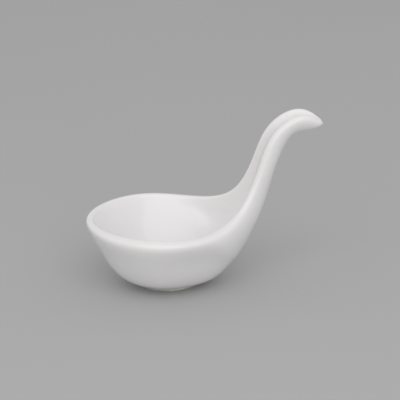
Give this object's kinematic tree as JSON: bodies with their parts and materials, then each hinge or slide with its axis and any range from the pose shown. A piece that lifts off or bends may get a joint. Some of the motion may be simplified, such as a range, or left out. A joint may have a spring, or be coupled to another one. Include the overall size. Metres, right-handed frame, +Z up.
{
  "type": "amuse-bouche spoon",
  "caption": "White glazed porcelain tasting spoon: a deep round bowl on a low bare foot ring, drawn up at the back into a channelled swan-neck handle, standing by itself to serve a single bite.",
  "frame": {"origin": "middle of the bounding box, on the table that the foot ring stands on", "axes": "+X from the bowl towards the handle's tip, +Y across the bowl, +Z up"},
  "size_m": [0.1018, 0.0658, 0.0758],
  "materials": {
    "bare_porcelain": "fired porcelain wiped bare of glaze, fine and matte",
    "white_glaze": "clear gloss glaze over white porcelain",
    "well_glaze": "clear gloss glaze pooled inside the foot ring"
  },
  "bodies": {
    "root": {"porcelain_body": "bare_porcelain", "glaze_coat": "white_glaze", "foot_well_glaze": "well_glaze"}
  },
  "joints": []
}
